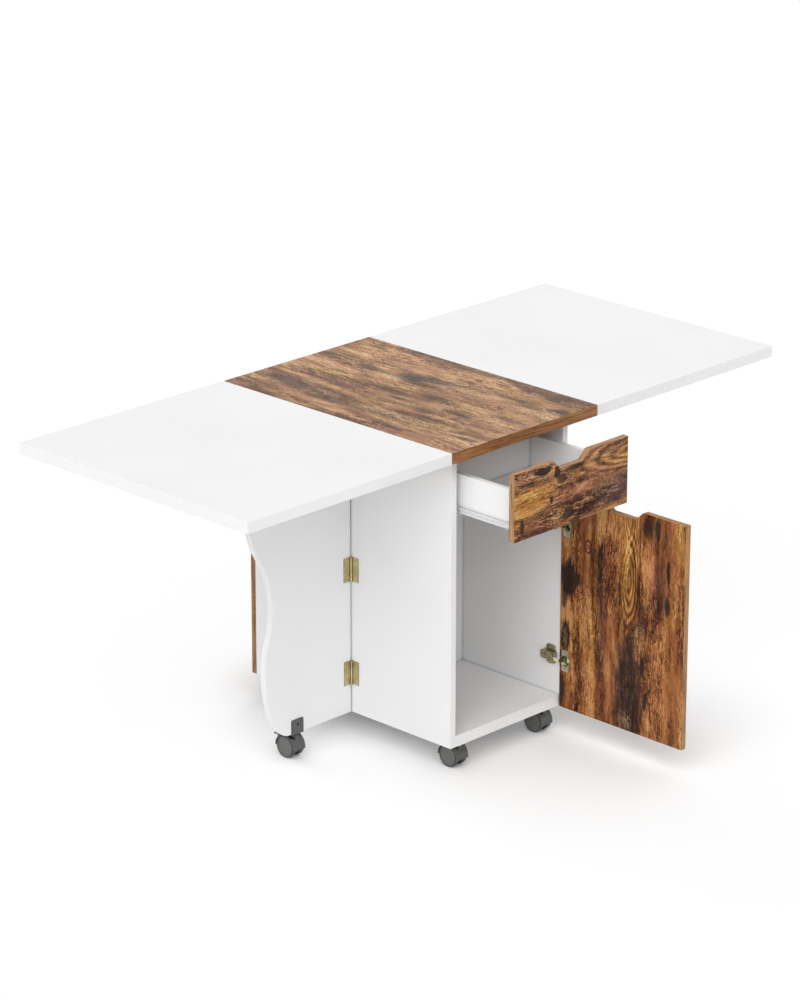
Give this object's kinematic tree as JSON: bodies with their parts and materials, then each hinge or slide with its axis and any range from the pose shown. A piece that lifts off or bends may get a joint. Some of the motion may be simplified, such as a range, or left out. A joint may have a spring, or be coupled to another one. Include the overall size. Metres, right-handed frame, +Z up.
{
  "type": "kitchen table with storage cabinet",
  "caption": "Rolling kitchen table: a brown top with white leaves on swing-out gate legs, over a cabinet with drawers and doors on both long sides",
  "frame": {"origin": "on the floor, below the middle of the part with its front drawer and front door as they stand open", "axes": "+Z is up, +X runs along the length of the table from the left leaf to the right one, and -Y points out of the front, where the open drawer and door are"},
  "size_m": [1.613, 1.0008, 0.75],
  "materials": {
    "white_laminate": "white melamine, satin",
    "rustic_laminate": "rustic brown wood print, matt",
    "brass": "brass plated, satin",
    "nickel": "nickel or zinc plated",
    "white_steel": "white powder coat",
    "dark_plastic": "dark grey, satin"
  },
  "bodies": {
    "cabinet": {"table_top": "rustic_laminate", "left_leaf": "white_laminate", "right_leaf": "white_laminate", "leaf_hinge_inner_wings": "brass", "leaf_hinge_outer_wings": "brass", "hinge_pins": "brass", "leaf_support_blocks": "white_laminate", "left_side_panel": "white_laminate", "right_side_panel": "white_laminate", "base_panel": "white_laminate", "centre_partition": "white_laminate", "cam_nuts": "nickel", "cam_bolts": "nickel", "gate_hinge_fixed_wings": "brass", "cabinet_screws": "nickel", "runner_rails": "white_steel", "door_hinge_arms": "nickel", "castor_plates": "nickel"},
    "left_leg": {"left_gate_leg": "white_laminate", "left_leg_hinge_wings": "brass", "left_leg_bracket": "dark_plastic", "left_leg_screws": "nickel"},
    "right_leg": {"right_gate_leg": "white_laminate", "right_leg_hinge_wings": "brass", "right_leg_bracket": "dark_plastic", "right_leg_screws": "nickel"},
    "front_drawer": {"front_drawer_front": "rustic_laminate", "front_drawer_sides": "white_laminate", "front_drawer_back": "white_laminate", "front_drawer_bottom": "white_laminate", "front_drawer_runners": "white_steel"},
    "front_door": {"front_door": "rustic_laminate", "front_door_hinge_cups": "nickel"},
    "back_drawer": {"back_drawer_front": "rustic_laminate", "back_drawer_sides": "white_laminate", "back_drawer_back": "white_laminate", "back_drawer_bottom": "white_laminate", "back_drawer_runners": "white_steel"},
    "back_door": {"back_door": "rustic_laminate", "back_door_hinge_cups": "nickel"},
    "front_left_castor": {"front_left_castor_hood": "dark_plastic"},
    "front_left_castor_wheels": {"front_left_castor_wheels": "dark_plastic", "front_left_castor_axle": "nickel"},
    "front_right_castor": {"front_right_castor_hood": "dark_plastic"},
    "front_right_castor_wheels": {"front_right_castor_wheels": "dark_plastic", "front_right_castor_axle": "nickel"},
    "back_left_castor": {"back_left_castor_hood": "dark_plastic"},
    "back_left_castor_wheels": {"back_left_castor_wheels": "dark_plastic", "back_left_castor_axle": "nickel"},
    "back_right_castor": {"back_right_castor_hood": "dark_plastic"},
    "back_right_castor_wheels": {"back_right_castor_wheels": "dark_plastic", "back_right_castor_axle": "nickel"},
    "left_leg_castor": {"left_leg_castor_hood": "dark_plastic"},
    "left_leg_castor_wheels": {"left_leg_castor_wheels": "dark_plastic", "left_leg_castor_axle": "nickel"},
    "right_leg_castor": {"right_leg_castor_hood": "dark_plastic"},
    "right_leg_castor_wheels": {"right_leg_castor_wheels": "dark_plastic", "right_leg_castor_axle": "nickel"},
    "left_leg_castor_brake": {"left_leg_castor_brake_lever": "dark_plastic"},
    "right_leg_castor_brake": {"right_leg_castor_brake_lever": "dark_plastic"}
  },
  "joints": [
    {"name": "left_leg_swing", "type": "hinge", "parent": "cabinet", "child": "left_leg", "pos_m": [-0.1818, 0.1516, 0.273], "axis": [0, 0, 1], "range_deg": [0, 90]},
    {"name": "right_leg_swing", "type": "hinge", "parent": "cabinet", "child": "right_leg", "pos_m": [0.1818, 0.1592, 0.273], "axis": [0, 0, 1], "range_deg": [0, 90]},
    {"name": "front_drawer_slide", "type": "slide", "parent": "cabinet", "child": "front_drawer", "axis": [0, -1, 0], "range_m": [-0.158, 0.027]},
    {"name": "back_drawer_slide", "type": "slide", "parent": "cabinet", "child": "back_drawer", "axis": [0, 1, 0], "range_m": [0, 0.185]},
    {"name": "front_door_hinge", "type": "hinge", "parent": "cabinet", "child": "front_door", "pos_m": [0.1685, -0.1559, 0.3275], "axis": [0, 0, 1], "range_deg": [-90, 5]},
    {"name": "back_door_hinge", "type": "hinge", "parent": "cabinet", "child": "back_door", "pos_m": [-0.1685, 0.4667, 0.3275], "axis": [0, 0, 1], "range_deg": [0, 95]},
    {"name": "front_left_castor_swivel", "type": "hinge", "parent": "cabinet", "child": "front_left_castor", "pos_m": [-0.134, -0.1231, 0.045], "axis": [0, 0, 1], "continuous": true},
    {"name": "front_left_castor_roll", "type": "hinge", "parent": "front_left_castor", "child": "front_left_castor_wheels", "pos_m": [-0.134, -0.1091, 0.025], "axis": [1, 0, 0], "continuous": true},
    {"name": "front_right_castor_swivel", "type": "hinge", "parent": "cabinet", "child": "front_right_castor", "pos_m": [0.134, -0.1231, 0.045], "axis": [0, 0, 1], "continuous": true},
    {"name": "front_right_castor_roll", "type": "hinge", "parent": "front_right_castor", "child": "front_right_castor_wheels", "pos_m": [0.134, -0.1091, 0.025], "axis": [1, 0, 0], "continuous": true},
    {"name": "back_left_castor_swivel", "type": "hinge", "parent": "cabinet", "child": "back_left_castor", "pos_m": [-0.134, 0.4339, 0.045], "axis": [0, 0, 1], "continuous": true},
    {"name": "back_left_castor_roll", "type": "hinge", "parent": "back_left_castor", "child": "back_left_castor_wheels", "pos_m": [-0.134, 0.4199, 0.025], "axis": [1, 0, 0], "continuous": true},
    {"name": "back_right_castor_swivel", "type": "hinge", "parent": "cabinet", "child": "back_right_castor", "pos_m": [0.134, 0.4339, 0.045], "axis": [0, 0, 1], "continuous": true},
    {"name": "back_right_castor_roll", "type": "hinge", "parent": "back_right_castor", "child": "back_right_castor_wheels", "pos_m": [0.134, 0.4199, 0.025], "axis": [1, 0, 0], "continuous": true},
    {"name": "left_leg_castor_swivel", "type": "hinge", "parent": "left_leg", "child": "left_leg_castor", "pos_m": [-0.345, 0.1619, 0.045], "axis": [0, 0, 1], "continuous": true},
    {"name": "left_leg_castor_roll", "type": "hinge", "parent": "left_leg_castor", "child": "left_leg_castor_wheels", "pos_m": [-0.345, 0.1759, 0.025], "axis": [1, 0, 0], "continuous": true},
    {"name": "right_leg_castor_swivel", "type": "hinge", "parent": "right_leg", "child": "right_leg_castor", "pos_m": [0.345, 0.1489, 0.045], "axis": [0, 0, 1], "continuous": true},
    {"name": "right_leg_castor_roll", "type": "hinge", "parent": "right_leg_castor", "child": "right_leg_castor_wheels", "pos_m": [0.345, 0.1349, 0.025], "axis": [1, 0, 0], "continuous": true},
    {"name": "left_leg_castor_brake_press", "type": "hinge", "parent": "left_leg_castor", "child": "left_leg_castor_brake", "pos_m": [-0.345, 0.20443, 0.03427], "axis": [-1, 0, 0], "range_deg": [0, 20]},
    {"name": "right_leg_castor_brake_press", "type": "hinge", "parent": "right_leg_castor", "child": "right_leg_castor_brake", "pos_m": [0.345, 0.10637, 0.03427], "axis": [1, 0, 0], "range_deg": [0, 20]}
  ]
}
